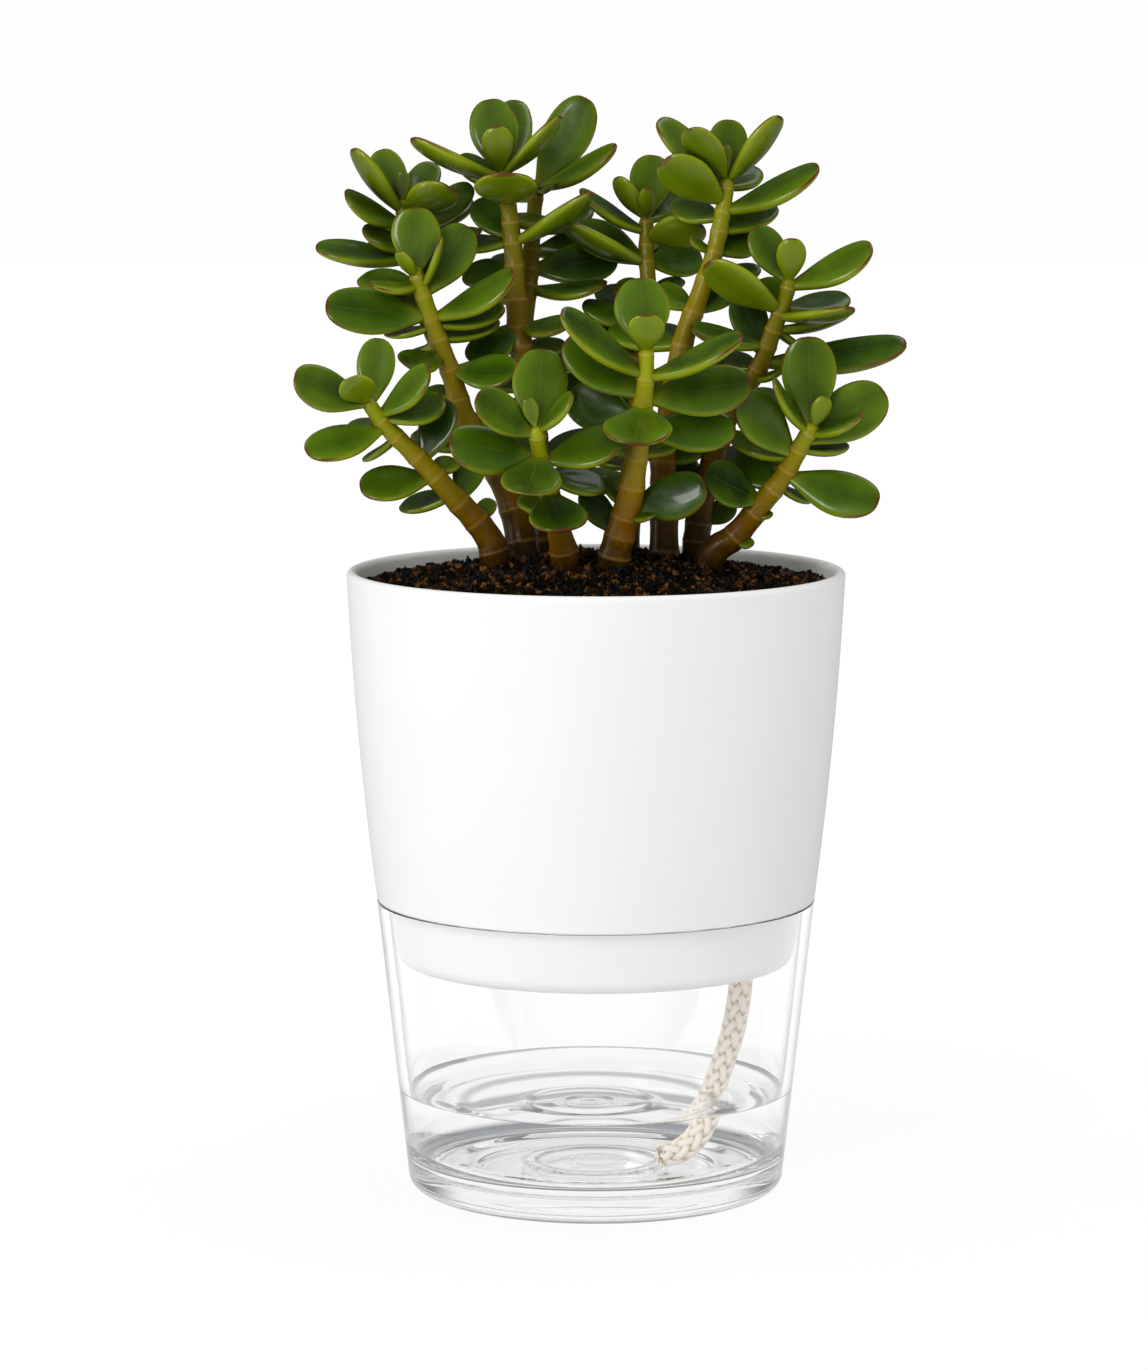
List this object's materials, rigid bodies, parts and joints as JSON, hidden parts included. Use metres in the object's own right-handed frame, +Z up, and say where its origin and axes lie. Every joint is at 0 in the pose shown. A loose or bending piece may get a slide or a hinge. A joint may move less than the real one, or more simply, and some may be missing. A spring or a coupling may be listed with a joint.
{
  "type": "potted jade plant",
  "caption": "Bushy jade plant with thick oval leaves, in a tapered white pot whose foot stands in a clear glass water reservoir, with a cord wick from the soil into the water.",
  "frame": {"origin": "middle of the reservoir's flat underside, on the axis of the pot", "axes": "+Z up along the pot's axis, X to the right across the plant's widest spread, Y away from the front, where the wick hangs a little in front of the axis on the right"},
  "size_m": [0.1822, 0.1502, 0.3291],
  "materials": {
    "white_ceramic": "smooth matt white",
    "clear_glass": "clear, polished",
    "water": "clear still water",
    "potting_soil": "moist dark crumbs with specks of bark",
    "cotton_wick": "undyed braided cord",
    "jade_leaf_and_stem": "waxy deep green leaves with reddish margins on green to brown stems"
  },
  "bodies": {
    "root": {"pot": "white_ceramic", "reservoir": "clear_glass", "water": "water", "soil": "potting_soil", "wick": "cotton_wick", "stem_front_centre": "jade_leaf_and_stem", "stem_front_low": "jade_leaf_and_stem", "stem_far_left": "jade_leaf_and_stem", "stem_far_right": "jade_leaf_and_stem", "stem_left_forked": "jade_leaf_and_stem", "stem_tall_right": "jade_leaf_and_stem", "stem_right": "jade_leaf_and_stem", "stem_back_centre": "jade_leaf_and_stem", "stem_back_forked": "jade_leaf_and_stem"}
  },
  "joints": []
}
